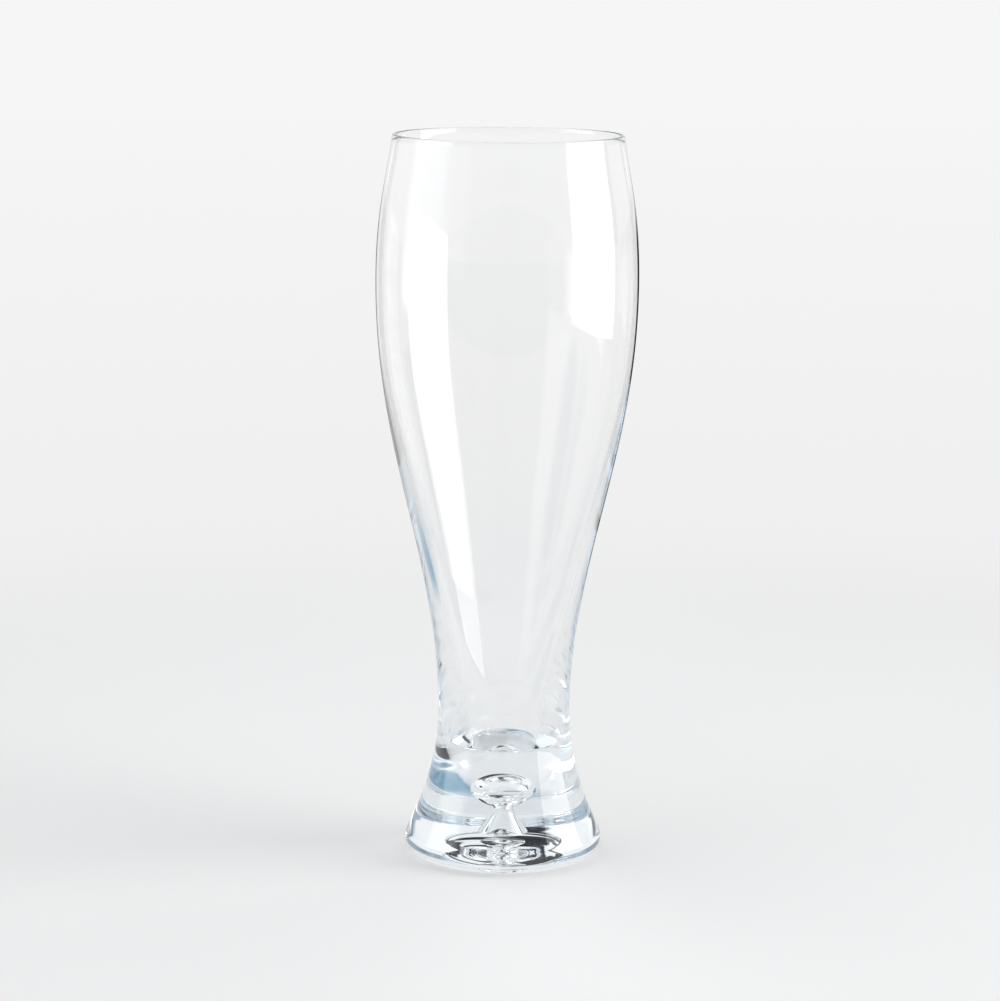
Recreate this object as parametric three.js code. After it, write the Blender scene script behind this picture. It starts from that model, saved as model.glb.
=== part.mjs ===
// Pilsner glass: a blown bowl on a heavy flared foot with an air pocket, closed by a pontil seal.
// Millimetres, +Z up. The origin is on the axis, on the surface that the glass stands on.
import * as THREE from 'three';

// Bowl, outside
const totalHeight = 228.6;
const rimRadius = 36;
const bellyRadius = 41;
const bellyHeight = 183;
const waistRadius = 20.85;

// Bowl, wall and floor
const rimWall = 1.1;
const bellyWall = 0.9;
const floorHeight = 34.6;
const floorThickness = 3.6;
const floorDish = 0.5;
const floorCorner = 0.8;
const wellRadius = 11.3;
const wellLeanAngle = 9.5;
const waistAboveFloor = 11.4;

// Fullness of the bowl's curves: the share of a stretch's height over which it keeps the direction of its end
const upperBellyFullness = 0.5;
const rimFullness = 0.28;
const outerBellyFullness = 0.404;
const outerWaistFullness = 0.365;
const innerBellyFullness = 0.346;
const innerWellFullness = 0.56;
const rimLeanAngle = 7;

// Foot
const footRadius = 31.2;
const heelRadius = 5.4;
const flareCornerHeight = 28;

// Air pocket in the foot: a bubble above a neck above a conical mouth
const bubbleRadius = 6.9;
const bubbleHalfHeight = 5.8;
const bubbleCover = 5.4;
const bubbleThroatAngle = 58;
const neckRadius = 2;
const neckBelowBubble = 6.4;
const neckRounding = 1.6;
const mouthRadius = 5.4;

// Pontil seal, set in the underside of the foot.
// Its hollow stays level over its fullness, a share of the hollow's radius.
const sealRadius = 13;
const sealThickness = 4.7;
const sealSideGap = 0.3;
const hollowDepth = 2.8;
const hollowEdge = 0.5;
const hollowFullness = 0.77;
const pipRadius = 1.6;
const pipHeight = 1.2;

// Facets: turns of a lathe, and steps along each kind of curve
const turns = 48;
const longSteps = 16;
const mediumSteps = 8;
const shortSteps = 6;

const degrees = Math.PI / 180;
const jointHeight = floorHeight - floorThickness;
const waistHeight = floorHeight + waistAboveFloor;
const wellTop = floorHeight + floorDish + floorCorner;
const bubbleHeight = jointHeight - bubbleCover - bubbleHalfHeight;
const neckHeight = bubbleHeight - neckBelowBubble;

const glass = { color: 0xeef5f8, roughness: 0.02, metalness: 0, transparent: true, opacity: 0.35 };

function point(radius, height) {
  return new THREE.Vector2(radius, height);
}

function arc(centre, radius, from, to) {
  return new THREE.EllipseCurve(centre.x, centre.y, radius, radius, from, to, to < from);
}

// The points of several curves and single points in order, with the shared ends kept once
function profile(...stretches) {
  const points = [];
  for (const [stretch, steps] of stretches) {
    const run = stretch.isVector2 ? [stretch] : stretch.getPoints(steps);
    for (const next of run) {
      const last = points.at(-1);
      if (!last || last.distanceTo(next) > 1e-6) points.push(next);
    }
  }
  return points;
}

function reversed(curve) {
  const ends = [curve.v3, curve.v2, curve.v1, curve.v0];
  return new THREE.CubicBezierCurve(...ends);
}

// The bulge from the belly to the rim: upright at the belly, leaning inwards at the rim
function shoulderCurve(bellyR, rimR) {
  const rimTop = totalHeight - rimWall / 2;
  const rise = rimTop - bellyHeight;
  const lean = rimLeanAngle * degrees;
  const pull = rise * rimFullness;
  return new THREE.CubicBezierCurve(
    point(bellyR, bellyHeight),
    point(bellyR, bellyHeight + rise * upperBellyFullness),
    point(rimR + pull * Math.tan(lean), rimTop - pull),
    point(rimR, rimTop),
  );
}

// The long S of the outside from the waist to the belly, upright at both ends
function outerTaper() {
  const rise = bellyHeight - waistHeight;
  return new THREE.CubicBezierCurve(
    point(waistRadius, waistHeight),
    point(waistRadius, waistHeight + rise * outerWaistFullness),
    point(bellyRadius, bellyHeight - rise * outerBellyFullness),
    point(bellyRadius, bellyHeight),
  );
}

// The inside from the well to the belly: it leaves the well leaning outwards, so the wall is thick low down
function innerTaper(innerBelly) {
  const rise = bellyHeight - wellTop;
  const pull = rise * innerWellFullness;
  return new THREE.CubicBezierCurve(
    point(wellRadius, wellTop),
    point(wellRadius + pull * Math.tan(wellLeanAngle * degrees), wellTop + pull),
    point(innerBelly, bellyHeight - rise * innerBellyFullness),
    point(innerBelly, bellyHeight),
  );
}

// The flare from the waist to the heel: upright at the waist, then along the tangent that runs from the
// flare's corner to the heel's circle. It is cut in two where the bowl stands on the foot.
function flareCurves() {
  const corner = point(waistRadius, flareCornerHeight);
  const heelCentre = point(footRadius - heelRadius, heelRadius);
  const toCorner = corner.clone().sub(heelCentre);
  const heelTopAngle = toCorner.angle() - Math.acos(heelRadius / toCorner.length());
  const heelTop = point(heelRadius, 0).rotateAround(point(0, 0), heelTopAngle).add(heelCentre);
  const waist = point(waistRadius, waistHeight);

  const square = waist.y - 2 * corner.y + heelTop.y;
  const linear = 2 * (waist.y - corner.y);
  const below = waist.y - jointHeight;
  const cut = (2 * below) / (linear + Math.sqrt(linear * linear - 4 * square * below));
  const onUpper = waist.clone().lerp(corner, cut);
  const onLower = corner.clone().lerp(heelTop, cut);
  const joint = onUpper.clone().lerp(onLower, cut);
  return {
    ofBowl: new THREE.QuadraticBezierCurve(joint, onUpper, waist),
    ofFoot: new THREE.QuadraticBezierCurve(heelTop, onLower, joint),
    heel: arc(heelCentre, heelRadius, -Math.PI / 2, heelTopAngle),
  };
}

function bowlProfile() {
  const innerRim = rimRadius - rimWall;
  const innerBelly = bellyRadius - bellyWall;
  const rimRound = rimWall / 2;
  const floorEdgeHeight = floorHeight + floorDish;
  const cornerRadius = wellRadius - floorCorner * Math.tan(wellLeanAngle * degrees);
  const floorRadius = cornerRadius - floorCorner;
  const rimArc = arc(point(rimRadius - rimRound, totalHeight - rimRound), rimRound, 0, Math.PI);
  const corner = new THREE.QuadraticBezierCurve(
    point(wellRadius, wellTop),
    point(cornerRadius, floorEdgeHeight),
    point(floorRadius, floorEdgeHeight),
  );
  const dish = new THREE.QuadraticBezierCurve(
    point(floorRadius, floorEdgeHeight),
    point(floorRadius / 2, floorHeight),
    point(0, floorHeight),
  );
  return profile(
    [point(0, jointHeight)],
    [flareCurves().ofBowl, shortSteps],
    [outerTaper(), longSteps],
    [shoulderCurve(bellyRadius, rimRadius), mediumSteps],
    [rimArc, shortSteps],
    [reversed(shoulderCurve(innerBelly, innerRim)), mediumSteps],
    [reversed(innerTaper(innerBelly)), longSteps],
    [corner, shortSteps],
    [dish, shortSteps],
  );
}

// From the top of the bubble down its wall, through the neck and out along the conical mouth
function pocketStretches() {
  const throat = -bubbleThroatAngle * degrees;
  const bubble = new THREE.EllipseCurve(
    0, bubbleHeight, bubbleRadius, bubbleHalfHeight, Math.PI / 2, throat, true);
  const leave = point(bubbleRadius * Math.cos(throat), bubbleHeight + bubbleHalfHeight * Math.sin(throat));
  const leaveSlope = bubbleHalfHeight / (bubbleRadius * Math.tan(-throat));
  const throatCorner = point(neckRadius, leave.y - (leave.x - neckRadius) * leaveSlope);
  const neck = point(neckRadius, neckHeight);
  const throatCurve = new THREE.QuadraticBezierCurve(leave, throatCorner, neck);
  const coneTop = point(neckRadius, neckHeight - neckRounding);
  const cone = new THREE.QuadraticBezierCurve(neck, coneTop, point(mouthRadius, sealThickness));
  return [[bubble, longSteps], [throatCurve, shortSteps], [cone, shortSteps]];
}

function footProfile() {
  const flare = flareCurves();
  const seatRadius = sealRadius + sealSideGap;
  return profile(
    ...pocketStretches(),
    [point(seatRadius, sealThickness)],
    [point(seatRadius, 0)],
    [flare.heel, mediumSteps],
    [flare.ofFoot, mediumSteps],
    [point(0, jointHeight)],
  );
}

// The polished hollow below, the flat face that meets the foot above, and the pip inside the pocket
function sealProfile() {
  const hollowRadius = sealRadius - hollowEdge;
  const hollow = new THREE.QuadraticBezierCurve(
    point(0, hollowDepth), point(hollowRadius * hollowFullness, hollowDepth), point(hollowRadius, 0));
  const pip = new THREE.EllipseCurve(0, sealThickness, pipRadius, pipHeight, 0, Math.PI / 2);
  return profile(
    [hollow, mediumSteps],
    [point(sealRadius, 0)],
    [point(sealRadius, sealThickness)],
    [pip, shortSteps],
  );
}

function lathed(name, points) {
  const material = new THREE.MeshStandardMaterial(glass);
  const mesh = new THREE.Mesh(new THREE.LatheGeometry(points, turns), material);
  mesh.name = name;
  return mesh;
}

const pilsnerGlass = new THREE.Group();
pilsnerGlass.rotation.x = Math.PI / 2;
pilsnerGlass.add(lathed('bowl', bowlProfile()));
pilsnerGlass.add(lathed('foot', footProfile()));
pilsnerGlass.add(lathed('pontil_seal', sealProfile()));

export default pilsnerGlass;
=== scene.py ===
"""Looks of a clear blown pilsner glass, one fused body with an air pocket in its foot, and its stage."""

import math

import bpy
import numpy as np
from bpy.props import FloatProperty, FloatVectorProperty, IntProperty, PointerProperty
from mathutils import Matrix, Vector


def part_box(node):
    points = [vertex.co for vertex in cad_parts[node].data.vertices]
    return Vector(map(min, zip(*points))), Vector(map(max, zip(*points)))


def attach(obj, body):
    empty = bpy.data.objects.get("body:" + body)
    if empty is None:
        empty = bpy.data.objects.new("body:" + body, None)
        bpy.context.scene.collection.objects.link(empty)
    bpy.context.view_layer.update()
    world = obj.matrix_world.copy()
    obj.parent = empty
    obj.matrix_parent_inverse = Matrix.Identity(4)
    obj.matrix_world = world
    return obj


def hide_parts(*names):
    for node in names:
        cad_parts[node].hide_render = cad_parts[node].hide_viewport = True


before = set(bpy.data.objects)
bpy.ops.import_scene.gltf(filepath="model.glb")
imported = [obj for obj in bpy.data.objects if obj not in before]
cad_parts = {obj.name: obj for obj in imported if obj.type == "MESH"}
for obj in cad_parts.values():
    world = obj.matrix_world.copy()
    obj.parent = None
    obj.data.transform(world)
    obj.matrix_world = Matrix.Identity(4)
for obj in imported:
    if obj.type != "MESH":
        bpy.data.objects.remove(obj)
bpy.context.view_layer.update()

bl_info = {
    "name": "Pilsner glass",
    "version": (1, 0, 0),
    "blender": (4, 5, 0),
    "location": "3D View > Sidebar > Pilsner",
    "description": "Builds a blown pilsner glass with an air bubble in its foot",
    "category": "Add Mesh",
}

BOWL_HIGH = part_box("bowl")[1]
FOOT_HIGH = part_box("foot")[1]

# Depths of the bubble's middle and of the neck below the top of the foot
BUBBLE_DEPTH = 0.0112
NECK_DEPTH = 0.0176

# Picture, lens and light paths
IMAGE_WIDTH = 1000
IMAGE_HEIGHT = 1001
SENSOR_MM = 36.0
CAMERA_REACH = 100.0
BOUNCES = 96

# Steps along the stretches of the profiles
INNER_TAPER_STEPS = 72
OUTER_TAPER_STEPS = 56
FLARE_STEPS = 44
HEEL_STEPS = 40
BUBBLE_STEPS = 36
HOLLOW_STEPS = 28
SHOULDER_STEPS = 24
DISH_STEPS = 16
WELL_CORNER_STEPS = 14
CONE_STEPS = 14
RIM_STEPS = 10
THROAT_STEPS = 10
PIP_STEPS = 8
EDGE_STEPS = 6
FLAT_STEPS = 4
SAME_POINT = 1e-9


def size(name, default, description):
    """A length that a user may change, in metres."""
    return FloatProperty(name=name, default=default, description=description, unit="LENGTH", precision=5)


def tilt(name, degrees, description):
    """An angle that a user may change."""
    return FloatProperty(name=name, default=math.radians(degrees), description=description, subtype="ANGLE")


def share(name, default, description):
    """A number without a unit that a user may change."""
    return FloatProperty(name=name, default=default, description=description, precision=4)


def tint(name, default, description):
    """A colour that a user may change."""
    return FloatVectorProperty(
        name=name, default=default, description=description, subtype="COLOR", min=0, max=1)


class PilsnerShape(bpy.types.PropertyGroup):
    """Sizes of the glass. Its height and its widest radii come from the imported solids."""

    total_height: size("Height", BOWL_HIGH.z, "From the table to the top of the rim")
    rim_radius: size("Rim radius", 0.036, "Outside of the rim")
    belly_radius: size("Belly radius", BOWL_HIGH.x, "Widest radius of the bowl")
    belly_height: size("Belly height", 0.183, "Height of the widest part")
    waist_radius: size("Waist radius", 0.02085, "Narrowest radius, above the foot")
    waist_height: size("Waist height", 0.046, "Height of the narrowest part")
    rim_wall: size("Rim wall", 0.0011, "Thickness of the fire-polished rim")
    belly_wall: size("Belly wall", 0.0009, "Thickness of the wall at the belly")
    floor_height: size("Floor height", 0.0346, "Height of the middle of the bowl's floor")
    floor_dish: size("Floor dish", 0.0005, "Rise of the floor from its middle to its corner")
    floor_corner: size("Floor corner", 0.0008, "Height of the rounded corner between floor and wall")
    well_radius: size("Well radius", 0.0113, "Radius of the inside just above the floor's corner")
    well_lean: tilt("Well lean", 9.5, "Outward lean of the well")
    upper_belly_fullness: share("Upper belly fullness", 0.5, "Share of the shoulder that stays upright")
    rim_fullness: share("Rim fullness", 0.28, "Share of the shoulder that follows the rim's lean")
    outer_belly_fullness: share("Outer belly fullness", 0.404, "Share of the taper upright towards the belly")
    outer_waist_fullness: share("Outer waist fullness", 0.365, "Share of the taper upright towards the waist")
    inner_belly_fullness: share("Inner belly fullness", 0.346, "Share of the inside that stays upright")
    inner_well_fullness: share("Inner well fullness", 0.56, "Share of the inside that keeps the well's lean")
    rim_lean: tilt("Rim lean", 7, "Inward lean at the rim")
    foot_radius: size("Foot radius", FOOT_HIGH.x, "Widest radius of the foot")
    heel_radius: size("Heel radius", 0.0054, "Radius of the rounded heel")
    flare_corner_height: size("Flare corner", 0.028, "Where the waist and the foot's flank would meet")


class PilsnerPocket(bpy.types.PropertyGroup):
    """Sizes of the air pocket and of the polished hollow under it."""

    bubble_radius: size("Bubble radius", 0.0069, "Half the bubble's width")
    bubble_half_height: size("Bubble half height", 0.0058, "Half the bubble's height")
    bubble_height: size("Bubble height", FOOT_HIGH.z - BUBBLE_DEPTH, "Height of the bubble's middle")
    throat_angle: tilt("Throat angle", 58, "Where the bubble draws in")
    neck_radius: size("Neck radius", 0.002, "Narrowest radius, below the bubble")
    neck_height: size("Neck height", FOOT_HIGH.z - NECK_DEPTH, "Height of the narrowest part")
    neck_rounding: size("Neck rounding", 0.0016, "Height over which the neck turns into the mouth")
    mouth_radius: size("Mouth radius", 0.0054, "Radius of the pocket's flat end")
    floor_height: size("Pocket floor", 0.0047, "Height of the pocket's flat end")
    mouth_corner: size("Mouth corner", 0.0004, "Rounding at the edge of the pocket's end")
    pip_radius: size("Pip radius", 0.0016, "Radius of the pip on the pocket's end")
    pip_height: size("Pip height", 0.0012, "Height of the pip")
    hollow_radius: size("Hollow radius", 0.0125, "Edge of the polished hollow")
    hollow_depth: size("Hollow depth", 0.0028, "Depth of the polished hollow")
    hollow_fullness: share("Hollow fullness", 0.77, "Share of the hollow's radius over which it stays level")
    hollow_edge: size("Hollow edge", 0.0004, "Rounding at the edge of the hollow")


class PilsnerFinish(bpy.types.PropertyGroup):
    """Clear glass with a faint blue in its depth."""

    turns: IntProperty(name="Turns", default=192, description="Steps around the axis")
    refraction: share("Refraction", 1.52, "Index of refraction of the glass")
    depth_tint: tint("Depth tint", (0.45, 0.65, 0.775), "Colour that thick glass turns to")
    depth_density: share("Depth density", 4.0, "How fast the tint builds up, per metre")
    ripple_height: FloatProperty(
        name="Ripple height", default=0.00001, description="Height of the ripples left by tooling",
        unit="LENGTH", precision=6)
    ripple_scale: share("Ripple scale", 45.0, "Ripples around the glass, per metre")
    ripple_stretch: share("Ripple stretch", 8.0, "How much closer the ripples lie upwards than around")
    ripple_low: size("Ripple low", 0.05, "Height up to which the ripples are at their strongest")
    ripple_high: size("Ripple high", 0.09, "Height at which the ripples end")
    wear_roughness: share("Wear", 0.04, "Roughness of the ring that the glass stands on")
    wear_scale: share("Wear scale", 900.0, "Scuffs on that ring, per metre")


class PilsnerStage(bpy.types.PropertyGroup):
    """Floor, light and camera."""

    camera_distance: size("Camera distance", 1.05, "From the glass to the camera, along the floor")
    camera_height: size("Camera height", 0.2983, "Above the floor")
    camera_pitch: tilt("Camera pitch", 9.97, "Look down")
    camera_roll: tilt("Camera roll", -0.45, "Lean of the picture")
    camera_side: size("Camera side step", -0.0032, "To the right of the glass")
    focal_pixels: share("Focal length", 3388.0, "In pixels of the picture")
    floor_colour: tint("Floor colour", (0.72, 0.72, 0.72), "Matt floor near the glass")
    floor_lift: share("Floor lift", 0.205, "Glow that brings the floor near the glass to its pale level")
    floor_even: share("Floor evening", 0.3, "How much that glow falls off towards the key light, per metre")
    # Painted pool of light under the foot: glow that stands in for the light that the glass gathers onto the
    # floor there
    painted_caustic_glow: share("Foot lift", 0.30, "More glow under the foot, where the glass gathers light")
    backdrop_level: share("Backdrop", 0.92, "Level of the pale background")
    paper_level: share("Paper", 0.84, "Level of the pale floor in what the glass mirrors")
    paper_half_width: size("Paper half width", 0.675, "Where the pale floor ends at the sides, in mirrors")
    paper_front: size("Paper front", 0.57, "Where the pale floor ends towards the camera, in mirrors")
    table_right: tint("Right of the paper", (0.12, 0.12, 0.13), "Dark table beyond the paper")
    table_left: tint("Left of the paper", (0.30, 0.42, 0.52), "Blue-grey table beyond the paper")
    table_front: tint("Before the paper", (0.6, 0.62, 0.64), "Grey table on the camera's side")
    room_back: tint("Back of the room", (1.0, 1.0, 1.0), "Pale wall behind the glass")
    room_left: tint("Left of the room", (1.0, 1.0, 1.0), "Pale wall on the left")
    room_front: tint("Front of the room", (0.6, 0.62, 0.64), "Grey room on the camera's side")
    ceiling: tint("Ceiling", (0.02, 0.02, 0.025), "Dark ceiling and dark gaps between the walls")
    window: tint("Window", (0.16, 0.34, 0.46), "Blue panes")
    left_gain: share("Left gain", 1.15, "Brightness of the left wall over its colour")
    left_glow: share("Left glow", 3.2, "Brightness of the soft light on the left in the outside of the bowl")
    key_level: share("Key light", 3.8, "Brightness of the soft box on the right")
    key_fade: share("Key fade", 0.3, "Share of that brightness that is lost towards the box's top")


def bezier(points, steps):
    """Points on a Bezier curve: each control point weighted by its Bernstein polynomial of the parameter."""
    control = np.array(points, float)
    degree = len(control) - 1
    t = np.linspace(0, 1, steps + 1)[:, None]
    weights = [math.comb(degree, k) * t**k * (1 - t) ** (degree - k) for k in range(degree + 1)]
    return sum(w * p for w, p in zip(weights, control))


def arc(centre, radii, start, end, steps):
    """Points on an ellipse: centre plus radii times the cosine and sine of an evenly stepped angle."""
    angle = np.linspace(start, end, steps + 1)
    return np.stack([centre[0] + radii[0] * np.cos(angle), centre[1] + radii[1] * np.sin(angle)], 1)


def joined(*runs):
    """Runs of points end to end, with a shared end kept once."""
    points = np.concatenate([np.array(run, float).reshape(-1, 2) for run in runs])
    step = np.linalg.norm(np.diff(points, axis=0), axis=1)
    return points[np.concatenate([[True], step > SAME_POINT])]


def shoulder(shape, belly_radius, rim_radius):
    """From belly to rim: a cubic that leaves the belly upright and reaches the rim with an inward lean."""
    rim_top = shape.total_height - shape.rim_wall / 2
    rise = rim_top - shape.belly_height
    pull = rise * shape.rim_fullness
    return bezier([
        (belly_radius, shape.belly_height),
        (belly_radius, shape.belly_height + rise * shape.upper_belly_fullness),
        (rim_radius + pull * math.tan(shape.rim_lean), rim_top - pull),
        (rim_radius, rim_top),
    ], SHOULDER_STEPS)


def outer_taper(shape):
    """The outside from waist to belly: one S-shaped cubic, upright at both ends."""
    rise = shape.belly_height - shape.waist_height
    return bezier([
        (shape.waist_radius, shape.waist_height),
        (shape.waist_radius, shape.waist_height + rise * shape.outer_waist_fullness),
        (shape.belly_radius, shape.belly_height - rise * shape.outer_belly_fullness),
        (shape.belly_radius, shape.belly_height),
    ], OUTER_TAPER_STEPS)


def inner_taper(shape):
    """The inside from well to belly: a cubic with the well's lean below, and upright at the belly."""
    inner_belly = shape.belly_radius - shape.belly_wall
    well_top = shape.floor_height + shape.floor_dish + shape.floor_corner
    rise = shape.belly_height - well_top
    pull = rise * shape.inner_well_fullness
    return bezier([
        (shape.well_radius, well_top),
        (shape.well_radius + pull * math.tan(shape.well_lean), well_top + pull),
        (inner_belly, shape.belly_height - rise * shape.inner_belly_fullness),
        (inner_belly, shape.belly_height),
    ], INNER_TAPER_STEPS)


def bowl_floor(shape):
    """A rounded corner at the foot of the well, then a shallow dish, each a parabola."""
    edge_height = shape.floor_height + shape.floor_dish
    corner_radius = shape.well_radius - shape.floor_corner * math.tan(shape.well_lean)
    floor_radius = corner_radius - shape.floor_corner
    corner = bezier([
        (shape.well_radius, edge_height + shape.floor_corner),
        (corner_radius, edge_height),
        (floor_radius, edge_height),
    ], WELL_CORNER_STEPS)
    dish = bezier([
        (floor_radius, edge_height),
        (floor_radius / 2, shape.floor_height),
        (0, shape.floor_height),
    ], DISH_STEPS)
    return corner, dish


def heel_and_flare(shape):
    """The heel is a circle on the table. The flare is a parabola from the waist, tangent to that circle."""
    centre = np.array([shape.foot_radius - shape.heel_radius, shape.heel_radius])
    corner = np.array([shape.waist_radius, shape.flare_corner_height])
    reach = corner - centre
    top = math.atan2(reach[1], reach[0]) - math.acos(shape.heel_radius / np.linalg.norm(reach))
    heel = arc(centre, (shape.heel_radius, shape.heel_radius), -math.pi / 2, top, HEEL_STEPS)
    flare = bezier([heel[-1], corner, (shape.waist_radius, shape.waist_height)], FLARE_STEPS)
    return heel, flare


def outer_profile(shape, pocket):
    """Radius and height: from the hollow underneath over the heel, up outside, over the rim, down inside."""
    inner_belly = shape.belly_radius - shape.belly_wall
    inner_rim = shape.rim_radius - shape.rim_wall
    rim_round = shape.rim_wall / 2
    rim_centre = (shape.rim_radius - rim_round, shape.total_height - rim_round)
    heel, flare = heel_and_flare(shape)
    hollow = bezier([
        (0, pocket.hollow_depth),
        (pocket.hollow_radius * pocket.hollow_fullness, pocket.hollow_depth),
        (pocket.hollow_radius, 0),
    ], HOLLOW_STEPS)[:-1]
    ring_start = (pocket.hollow_radius + pocket.hollow_edge, 0)
    return joined(
        hollow,
        bezier([hollow[-1], (pocket.hollow_radius, 0), ring_start], EDGE_STEPS),
        bezier([ring_start, (heel[0, 0], 0)], FLAT_STEPS),
        heel,
        flare,
        outer_taper(shape),
        shoulder(shape, shape.belly_radius, shape.rim_radius),
        arc(rim_centre, (rim_round, rim_round), 0, math.pi, RIM_STEPS),
        shoulder(shape, inner_belly, inner_rim)[::-1],
        inner_taper(shape)[::-1],
        *bowl_floor(shape),
    )


def pocket_profile(pocket):
    """Radius and height of the pocket's wall: bubble, throat, neck and cone, to the pip on its flat end."""
    bubble_centre = (0, pocket.bubble_height)
    bubble_radii = (pocket.bubble_radius, pocket.bubble_half_height)
    bubble = arc(bubble_centre, bubble_radii, math.pi / 2, -pocket.throat_angle, BUBBLE_STEPS)
    leave = bubble[-1]
    slope = pocket.bubble_half_height / (pocket.bubble_radius * math.tan(pocket.throat_angle))
    neck = (pocket.neck_radius, pocket.neck_height)
    throat_corner = (pocket.neck_radius, leave[1] - (leave[0] - pocket.neck_radius) * slope)
    cone_top = np.array([pocket.neck_radius, pocket.neck_height - pocket.neck_rounding])
    mouth = np.array([pocket.mouth_radius, pocket.floor_height])
    up_cone = (cone_top - mouth) / np.linalg.norm(cone_top - mouth)
    cone = bezier([neck, cone_top, mouth + up_cone * pocket.mouth_corner], CONE_STEPS)
    inwards = mouth - (pocket.mouth_corner, 0)
    pip = arc((0, pocket.floor_height), (pocket.pip_radius, pocket.pip_height), 0, math.pi / 2, PIP_STEPS)
    return joined(
        bubble,
        bezier([leave, throat_corner, neck], THROAT_STEPS),
        cone,
        bezier([cone[-1], mouth, inwards], EDGE_STEPS),
        bezier([inwards, pip[0]], FLAT_STEPS),
        pip,
    )


def ringed(profile, turns):
    """A ring of points about the z axis for each profile point, and the points' numbers, one row per ring."""
    angle = np.linspace(0, 2 * np.pi, turns, endpoint=False)
    x = profile[:, :1] * np.cos(angle)
    y = profile[:, :1] * np.sin(angle)
    z = np.repeat(profile[:, 1:], turns, axis=1)
    points = np.stack([x, y, z], 2).reshape(-1, 3)
    return points, np.arange(len(points)).reshape(len(profile), turns)


def turned(profile, turns):
    """A surface of revolution: a ring about the z axis for each profile point, and a pole at either end."""
    around, index = ringed(profile[1:-1], turns)
    poles = [[0, 0, profile[0, 1]], [0, 0, profile[-1, 1]]]
    vertices = np.concatenate([around, poles])
    beside = np.roll(index, -1, axis=1)
    quads = np.stack([index[:-1], beside[:-1], beside[1:], index[1:]], 2).reshape(-1, 4)
    first = np.full(turns, len(around))
    last = first + 1
    caps = np.concatenate([
        np.stack([first, beside[0], index[0]], 1),
        np.stack([index[-1], beside[-1], last], 1),
    ])
    return vertices, quads.tolist() + caps.tolist()


def smooth_object(name, shells, material):
    """One mesh object from shells of vertices and faces, shaded smooth."""
    vertices = np.concatenate([shell[0] for shell in shells])
    faces = []
    start = 0
    for points, polygons in shells:
        faces += [[corner + start for corner in polygon] for polygon in polygons]
        start += len(points)
    mesh = bpy.data.meshes.new(name)
    mesh.from_pydata(vertices.tolist(), [], faces)
    mesh.polygons.foreach_set("use_smooth", np.ones(len(mesh.polygons), bool))
    mesh.materials.append(material)
    mesh.update()
    made = bpy.data.objects.new(name, mesh)
    bpy.context.scene.collection.objects.link(made)
    return made


class Value:
    """A socket that can stand in a Python expression: each operator adds one Math node."""

    def __init__(self, tree, socket):
        self.tree = tree
        self.socket = socket

    def math(self, operation, *others):
        """A Math node of this value and, where the operation takes them, of others."""
        return self.tree.node("ShaderNodeMath", dict(enumerate([self, *others])), operation=operation)[0]

    def __add__(self, other):
        return self.math("ADD", other)

    def __mul__(self, other):
        return self.math("MULTIPLY", other)

    def __truediv__(self, other):
        return self.math("DIVIDE", other)

    def __rsub__(self, other):
        return self.tree.node("ShaderNodeMath", {0: other, 1: self}, operation="SUBTRACT")[0]

    __rmul__ = __mul__


class Tree:
    """A node tree that is built by calls."""

    def __init__(self, owner):
        owner.use_nodes = True
        self.nodes = owner.node_tree.nodes
        self.links = owner.node_tree.links
        self.nodes.clear()

    def node(self, kind, inputs=None, stops=(), **settings):
        """Adds a node, sets its settings, then its sockets' values or links, and returns its outputs."""
        made = self.nodes.new(kind)
        for name, value in settings.items():
            setattr(made, name, value)
        if stops:
            self.set_stops(made.color_ramp, stops)
        for key, value in (inputs or {}).items():
            if isinstance(value, Value):
                self.links.new(value.socket, made.inputs[key])
            else:
                made.inputs[key].default_value = value
        return [Value(self, socket) for socket in made.outputs]

    def set_stops(self, ramp, stops):
        """Gives a colour ramp its positions and colours."""
        while len(ramp.elements) < len(stops):
            ramp.elements.new(1.0)
        for element, (position, colour) in zip(ramp.elements, stops):
            element.position = position
            element.color = colour


def named(name, outputs):
    """The output of a node by its socket's name."""
    return next(value for value in outputs if value.socket.name == name)


def own_place(tree):
    """The place of a surface point in its object's own axes."""
    return named("Object", tree.node("ShaderNodeTexCoord"))


def vector(tree, operation, *vectors):
    """A vector worked out from vectors."""
    return named("Vector", tree.node("ShaderNodeVectorMath", dict(enumerate(vectors)), operation=operation))


def measure(tree, operation, *vectors):
    """A number worked out from vectors."""
    return named("Value", tree.node("ShaderNodeVectorMath", dict(enumerate(vectors)), operation=operation))


def ramped(tree, value, low, high):
    """Rises smoothly from nought at low to one at high."""
    return tree.node("ShaderNodeMapRange", {0: value, 1: low, 2: high}, interpolation_type="SMOOTHSTEP")[0]


# Sockets of the Mix node when it blends colours
MIX_FACTOR = 0
MIX_FIRST = 6
MIX_SECOND = 7
MIX_RESULT = 2


def mixed_colour(tree, factor, first, second):
    """A blend of two colours."""
    sockets = {MIX_FACTOR: factor, MIX_FIRST: first, MIX_SECOND: second}
    return tree.node("ShaderNodeMix", sockets, data_type="RGBA")[MIX_RESULT]


def opaque(colour):
    """A socket's colour from red, green and blue."""
    return (*colour, 1)


def even(level):
    """A socket's grey from one level."""
    return (level, level, level, 1)


def grey(tree, level):
    """A grey colour from a value that varies."""
    return tree.node("ShaderNodeCombineColor", {0: level, 1: level, 2: level})[0]


def aim(azimuth, elevation):
    """Unit vector at an azimuth to the right of the front and at an elevation, both in degrees."""
    turn = math.radians(azimuth)
    lift = math.radians(elevation)
    return (math.sin(turn) * math.cos(lift), -math.cos(turn) * math.cos(lift), math.sin(lift))


def patch(tree, direction, azimuth, elevation, radius, soft):
    """One inside a round patch of the sky, nought outside: the ramped cosine of the angle to its middle."""
    cosine = measure(tree, "DOT_PRODUCT", direction, aim(azimuth, elevation))
    return ramped(tree, cosine, math.cos(math.radians(radius + soft)), math.cos(math.radians(radius - soft)))


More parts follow.
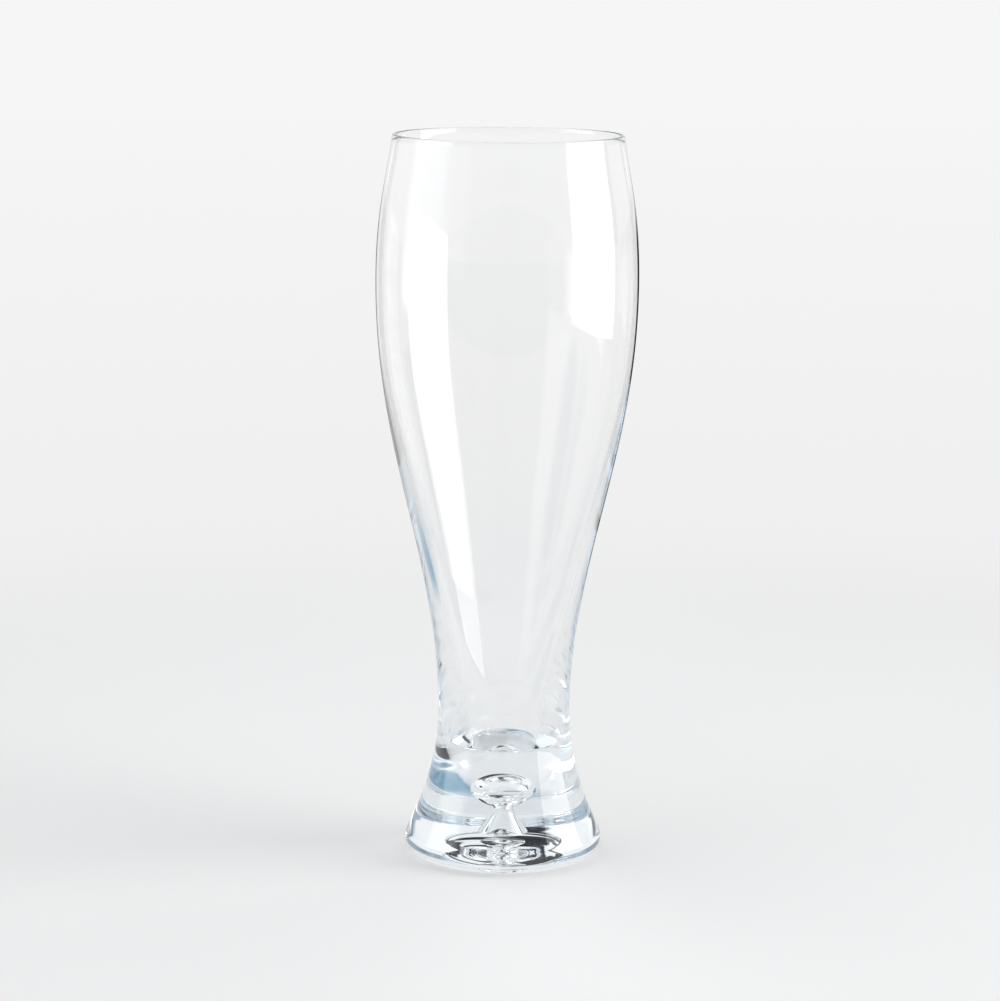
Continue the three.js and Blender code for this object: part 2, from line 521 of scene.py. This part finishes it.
def above(tree, direction, low, high):
    """Rises smoothly from nought at a low elevation to one at a high one, in degrees."""
    height = named("Z", tree.node("ShaderNodeSeparateXYZ", {0: direction}))
    return ramped(tree, height, math.sin(math.radians(low)), math.sin(math.radians(high)))


def clear_glass(finish, shape, pocket):
    """Clear glass: faint ripples low down, scuffs on the ring it stands on, and pale blue in its depth."""
    material = bpy.data.materials.new("clear_glass")
    tree = Tree(material)
    place = own_place(tree)
    x, y, z = tree.node("ShaderNodeSeparateXYZ", {0: place})
    drawn = vector(tree, "MULTIPLY", place, (1, 1, finish.ripple_stretch))
    ripple = tree.node("ShaderNodeTexNoise", {"Vector": drawn, "Scale": finish.ripple_scale})[0]
    low = 1 - ramped(tree, z, finish.ripple_low, finish.ripple_high)
    normal = tree.node("ShaderNodeBump", {"Distance": finish.ripple_height, "Height": ripple * low})[0]
    scuffs = tree.node("ShaderNodeTexNoise", {"Vector": place, "Scale": finish.wear_scale})[0]
    reach = (x * x + y * y).math("SQRT")
    heel = shape.foot_radius - shape.heel_radius
    ring = ramped(tree, reach, pocket.hollow_radius, pocket.hollow_radius + pocket.hollow_edge)
    ring = ring * (1 - ramped(tree, reach, heel, heel + pocket.hollow_edge))
    ring = ring * (1 - ramped(tree, z, 0.0, pocket.hollow_edge))
    surface = tree.node("ShaderNodeBsdfPrincipled", {
        "Base Color": even(1.0),
        "Roughness": ring * scuffs * finish.wear_roughness,
        "IOR": finish.refraction,
        "Transmission Weight": 1.0,
        "Normal": normal,
    })[0]
    depth = tree.node("ShaderNodeVolumeAbsorption", {
        "Color": opaque(finish.depth_tint),
        "Density": finish.depth_density,
    })[0]
    tree.node("ShaderNodeOutputMaterial", {"Surface": surface, "Volume": depth})
    return material


class PILSNER_OT_blow_glass(bpy.types.Operator):
    """Builds the fused body of glass, with the air pocket in its foot"""

    bl_idname = "pilsner.blow_glass"
    bl_label = "Blown glass"

    def execute(self, context):
        scene = context.scene
        shape = scene.pilsner_shape
        pocket = scene.pilsner_pocket
        finish = scene.pilsner_finish
        shells = [
            turned(outer_profile(shape, pocket), finish.turns),
            turned(pocket_profile(pocket), finish.turns),
        ]
        glass = smooth_object("blown_glass", shells, clear_glass(finish, shape, pocket))
        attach(glass, "root")
        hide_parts("bowl", "foot", "pontil_seal")
        return {"FINISHED"}


# Limits for counts of mirrors and crossings, half-way between whole numbers
ONE_OR_MORE = 0.5
THREE_OR_MORE = 2.5
SEVEN_OR_MORE = 6.5

# Floor disc, with rings that widen from the middle
FLOOR_RADIUS = 40.0
FLOOR_DROP = 0.0001
FLOOR_FIRST_RING = 0.05
FLOOR_RINGS = 24
FLOOR_TURNS = 64

# Levels of the far floor, by shares of its reach
FAR_STOPS = [(0.0, 0.84), (0.02, 0.855), (0.05, 0.867), (0.12, 0.89), (0.33, 0.92), (1.0, 0.92)]
FAR_REACH = 12.0

# Where the floor's looks begin and end to change, in metres from the axis
# Radii where the painted pool of light under the foot begins and ends to fade
PAINTED_POOL_REACH = (0.024, 0.032)
MATT_END = (0.3, 0.6)
GAP_START = (0.3, 0.4)
GAP_END = (2.5, 5.0)
LEFT_LIGHT_START = (1.0, 1.6)
PAPER_SOFT = 0.02

# Height on the glass over which rays to the floor turn from the foot's to the bowl's, and the blend at which
# Facing is one less the cosine
FOOT_TO_BOWL = (0.09, 0.13)
COSINE_BLEND = 0.5

# Upright soft box on the right: distance from the axis, edges, and heights between which it weakens
KEY_PLACE = 0.8
KEY_FRONT = -0.5
KEY_BACK = 0.22
KEY_BOTTOM = 0.005
KEY_TOP = 1.105
KEY_WEAKENS = (0.3, 0.6)

# Sectors of the room: azimuth, elevation, radius and softness in degrees
LEFT_LIGHT = (-80, 0, 20, 8)
LEFT_WALL = (-81, 0, 44, 4)
FRONT_WALL = (9, 0, 46, 6)
UPPER_FRONT = (0, 0, 60, 10)
RIGHT_GAP = (110, 0, 5, 1.5)
BACK_GAP = (176, 0, 17, 2)

# Elevations, in degrees, between which the front wall ends and the dark upper front begins
FRONT_WALL_TOP = (25, 35)
UPPER_FRONT_START = (14, 20)

# Patches of the room: azimuth, elevation, radius and softness in degrees, and the stage's colour
ROOM_PATCHES = [
    (-67, 12, 9, 2, "window"),
    (-36, 36, 9, 2, "window"),
    (38, 33, 9, 2, "window"),
    (116, 22, 7, 2, "window"),
    (-107, 20, 9, 2, "ceiling"),
    (24, 46, 12, 2, "ceiling"),
    (-84, 13, 8, 3, "table_left"),
    (130, 82, 16, 4, "ceiling"),
    (-171, 18, 11, 2, "ceiling"),
    (-169, 36, 12, 2, "ceiling"),
    (-163, 54, 11, 2, "ceiling"),
    (172, 21, 6, 2, "ceiling"),
    (170, 60, 6, 2, "ceiling"),
]

# Spots on the floor, as the glass shows it: place, where each begins and ends to fade, the stage's colour
FLOOR_SPOTS = [
    (-0.27, 0.19, 0.12, 0.17, "window"),
    (0.010, 0.024, 0.008, 0.012, "window"),
    (0.018, 0.038, 0.006, 0.009, "window"),
]


def plain_sight(tree):
    """One for what is seen straight or through glass, and nought after a mirror or a matt surface."""
    path = tree.node("ShaderNodeLightPath")
    no_mirror = named("Glossy Depth", path).math("LESS_THAN", ONE_OR_MORE)
    no_matt = named("Diffuse Depth", path).math("LESS_THAN", ONE_OR_MORE)
    return no_mirror * no_matt


def within(tree):
    """One for rays that have been in the glass or on the floor, nought for what the outside mirrors."""
    path = tree.node("ShaderNodeLightPath")
    passed = named("Transmission Depth", path) + named("Diffuse Depth", path)
    return passed.math("GREATER_THAN", ONE_OR_MORE)


def from_foot(tree):
    """One for rays that come to the floor from low on the glass: steepness times length is that height."""
    facing = named("Facing", tree.node("ShaderNodeLayerWeight", {"Blend": COSINE_BLEND}))
    length = named("Ray Length", tree.node("ShaderNodeLightPath"))
    return 1 - ramped(tree, (1 - facing) * length, *FOOT_TO_BOWL)


def led_round(tree):
    """One for rays that a single wall has led round the bowl by many inner mirrors, nought for others."""
    path = tree.node("ShaderNodeLightPath")
    crossings = named("Transmission Depth", path)
    mirrors = named("Glossy Depth", path)
    one_wall = crossings.math("GREATER_THAN", ONE_OR_MORE) * crossings.math("LESS_THAN", THREE_OR_MORE)
    return one_wall * mirrors.math("GREATER_THAN", SEVEN_OR_MORE)


def studio_floor(tree, stage, place):
    """The floor as the glass shows it: pale paper, tables beyond it, a dark gap behind, light on the left."""
    x, y, _ = tree.node("ShaderNodeSeparateXYZ", {0: place})
    inside = within(tree) * from_foot(tree)
    side_edge = (stage.paper_half_width - PAPER_SOFT, stage.paper_half_width + PAPER_SOFT)
    front_edge = (stage.paper_front - PAPER_SOFT, stage.paper_front + PAPER_SOFT)
    right = inside * ramped(tree, x, *side_edge)
    left = inside * ramped(tree, x * -1.0, *side_edge)
    front = ramped(tree, y * -1.0, *front_edge)
    colour = mixed_colour(tree, left, even(stage.paper_level), opaque(stage.table_left))
    colour = mixed_colour(tree, front, colour, opaque(stage.table_front))
    for across, away, solid, end, what in FLOOR_SPOTS:
        off = measure(tree, "DISTANCE", place, (across, away, 0))
        here = inside * (1 - ramped(tree, off, solid, end))
        colour = mixed_colour(tree, here, colour, opaque(getattr(stage, what)))
    colour = mixed_colour(tree, right, colour, opaque(stage.table_right))
    bearing = vector(tree, "NORMALIZE", place)
    reach = measure(tree, "LENGTH", place)
    near = ramped(tree, reach, *GAP_START) * (1 - ramped(tree, reach, *GAP_END))
    gap = patch(tree, bearing, *BACK_GAP) * near * (1 - inside)
    colour = mixed_colour(tree, gap, colour, opaque(stage.ceiling))
    glow = patch(tree, bearing, *LEFT_LIGHT) * ramped(tree, reach, *LEFT_LIGHT_START) * (1 - inside)
    return mixed_colour(tree, glow, colour, even(stage.left_glow))


def floor_material(stage):
    """Pale floor: near the glass it is matt and takes the shadow, with a painted pool of light under the
    foot; further off it glows evenly pale.
    """
    material = bpy.data.materials.new("pale_floor")
    tree = Tree(material)
    place = own_place(tree)
    reach = measure(tree, "LENGTH", place)
    across = named("X", tree.node("ShaderNodeSeparateXYZ", {0: place}))
    plain = plain_sight(tree)
    stops = [(position, even(level)) for position, level in FAR_STOPS]
    pale = tree.node("ShaderNodeValToRGB", {0: reach / FAR_REACH}, stops)[0]
    seen = mixed_colour(tree, plain, studio_floor(tree, stage, place), pale)
    far = tree.node("ShaderNodeEmission", {"Color": seen})[0]
    # Painted pool of light under the foot, seen through the glass: extra glow in place of the light that the
    # glass gathers there
    painted_pool = 1 - ramped(tree, reach, *PAINTED_POOL_REACH)
    lift = stage.floor_lift - stage.floor_even * across.math("MAXIMUM", 0.0) + stage.painted_caustic_glow * painted_pool
    matt = tree.node("ShaderNodeBsdfDiffuse", {"Color": opaque(stage.floor_colour)})[0]
    glow = tree.node("ShaderNodeEmission", {"Color": grey(tree, lift)})[0]
    near = tree.node("ShaderNodeAddShader", {0: matt, 1: glow})[0]
    close = plain * (1 - ramped(tree, reach, *MATT_END))
    mixed = tree.node("ShaderNodeMixShader", {0: close, 1: far, 2: near})[0]
    tree.node("ShaderNodeOutputMaterial", {"Surface": mixed})
    return material


def make_floor(stage):
    """A disc of rings about the axis, a hair below the glass."""
    reach = np.geomspace(FLOOR_FIRST_RING, FLOOR_RADIUS, FLOOR_RINGS)
    profile = np.stack([reach, np.full(FLOOR_RINGS, -FLOOR_DROP)], 1)
    around, index = ringed(profile, FLOOR_TURNS)
    vertices = np.concatenate([around, [[0, 0, -FLOOR_DROP]]])
    beside = np.roll(index, -1, axis=1)
    quads = np.stack([index[:-1], index[1:], beside[1:], beside[:-1]], 2).reshape(-1, 4)
    hub = np.full(FLOOR_TURNS, len(around))
    caps = np.stack([hub, index[0], beside[0]], 1)
    floor = smooth_object("pale_floor", [(vertices, quads.tolist() + caps.tolist())], floor_material(stage))


def make_world(stage):
    """The room by direction: pale behind and left, grey in front, dark above. Plain sight is evenly pale."""
    world = bpy.data.worlds.new("studio")
    bpy.context.scene.world = world
    tree = Tree(world)
    direction = named("Generated", tree.node("ShaderNodeTexCoord"))
    flat = vector(tree, "MULTIPLY", direction, (1, 1, 0))
    level = vector(tree, "NORMALIZE", flat)
    inside = within(tree)
    left = [stage.left_gain * part for part in stage.room_left]
    fill = patch(tree, level, *LEFT_WALL) * inside
    colour = mixed_colour(tree, fill, opaque(stage.room_back), opaque(left))
    glow = patch(tree, level, *LEFT_LIGHT) * (1 - inside)
    colour = mixed_colour(tree, glow, colour, even(stage.left_glow))
    front = patch(tree, level, *FRONT_WALL) * (1 - above(tree, direction, *FRONT_WALL_TOP)) * inside
    colour = mixed_colour(tree, front, colour, opaque(stage.room_front))
    upper_front = patch(tree, level, *UPPER_FRONT) * above(tree, direction, *UPPER_FRONT_START) * (1 - inside)
    colour = mixed_colour(tree, upper_front, colour, opaque(stage.ceiling))
    stripe = patch(tree, level, *RIGHT_GAP) * inside
    colour = mixed_colour(tree, stripe, colour, opaque(stage.table_right))
    for azimuth, elevation, radius, soft, what in ROOM_PATCHES:
        here = patch(tree, direction, azimuth, elevation, radius, soft) * inside
        colour = mixed_colour(tree, here, colour, opaque(getattr(stage, what)))
    colour = mixed_colour(tree, plain_sight(tree), colour, even(stage.backdrop_level))
    shine = tree.node("ShaderNodeBackground", {"Color": colour})[0]
    tree.node("ShaderNodeOutputWorld", {"Surface": shine})


def key_material(stage):
    """Even white light, weaker towards its top. Rays that the bowl's wall has led round don't see it."""
    material = bpy.data.materials.new("key_light")
    tree = Tree(material)
    height = named("Z", tree.node("ShaderNodeSeparateXYZ", {0: own_place(tree)}))
    strength = stage.key_level * (1 - stage.key_fade * ramped(tree, height, *KEY_WEAKENS))
    level = strength * (1 - led_round(tree))
    shine = tree.node("ShaderNodeEmission", {"Color": grey(tree, level)})[0]
    tree.node("ShaderNodeOutputMaterial", {"Surface": shine})
    return material


def make_key(stage):
    """One large soft box on the right: an upright card that faces the glass."""
    corners = np.array([
        (KEY_PLACE, KEY_FRONT, KEY_BOTTOM),
        (KEY_PLACE, KEY_BACK, KEY_BOTTOM),
        (KEY_PLACE, KEY_BACK, KEY_TOP),
        (KEY_PLACE, KEY_FRONT, KEY_TOP),
    ])
    card = smooth_object("key_card", [(corners, [[0, 3, 2, 1]])], key_material(stage))
    card.visible_camera = False


def make_camera(stage):
    """A long lens at the photograph's distance, height and tilt."""
    data = bpy.data.cameras.new("camera")
    data.sensor_width = SENSOR_MM
    data.lens = stage.focal_pixels * SENSOR_MM / max(IMAGE_WIDTH, IMAGE_HEIGHT)
    data.clip_end = CAMERA_REACH
    camera = bpy.data.objects.new("camera", data)
    camera.location = (stage.camera_side, -stage.camera_distance, stage.camera_height)
    camera.rotation_mode = "XYZ"
    camera.rotation_euler = (math.pi / 2 - stage.camera_pitch, stage.camera_roll, 0)
    bpy.context.scene.collection.objects.link(camera)
    bpy.context.scene.camera = camera


class PILSNER_OT_set_stage(bpy.types.Operator):
    """Sets the floor, the light and the camera"""

    bl_idname = "pilsner.set_stage"
    bl_label = "Stage"

    def execute(self, context):
        scene = context.scene
        stage = scene.pilsner_stage
        make_floor(stage)
        make_world(stage)
        make_key(stage)
        make_camera(stage)
        scene.view_settings.view_transform = "Standard"
        scene.cycles.max_bounces = BOUNCES
        scene.cycles.glossy_bounces = BOUNCES
        scene.cycles.transmission_bounces = BOUNCES
        return {"FINISHED"}


class PILSNER_PT_sidebar(bpy.types.Panel):
    """Lists the steps that build the glass"""

    bl_label = "Pilsner glass"
    bl_space_type = "VIEW_3D"
    bl_region_type = "UI"
    bl_category = "Pilsner"

    def draw(self, context):
        self.layout.operator(PILSNER_OT_blow_glass.bl_idname)
        self.layout.operator(PILSNER_OT_set_stage.bl_idname)


GROUPS = {
    "pilsner_shape": PilsnerShape,
    "pilsner_pocket": PilsnerPocket,
    "pilsner_finish": PilsnerFinish,
    "pilsner_stage": PilsnerStage,
}
CLASSES = (*GROUPS.values(), PILSNER_OT_blow_glass, PILSNER_OT_set_stage, PILSNER_PT_sidebar)


def register():
    for made in CLASSES:
        bpy.utils.register_class(made)
    for name, group in GROUPS.items():
        setattr(bpy.types.Scene, name, PointerProperty(type=group))


def unregister():
    for name in GROUPS:
        delattr(bpy.types.Scene, name)
    for made in reversed(CLASSES):
        bpy.utils.unregister_class(made)


def main():
    register()
    bpy.ops.pilsner.set_stage()
    bpy.ops.pilsner.blow_glass()


if __name__ == "__main__":
    main()
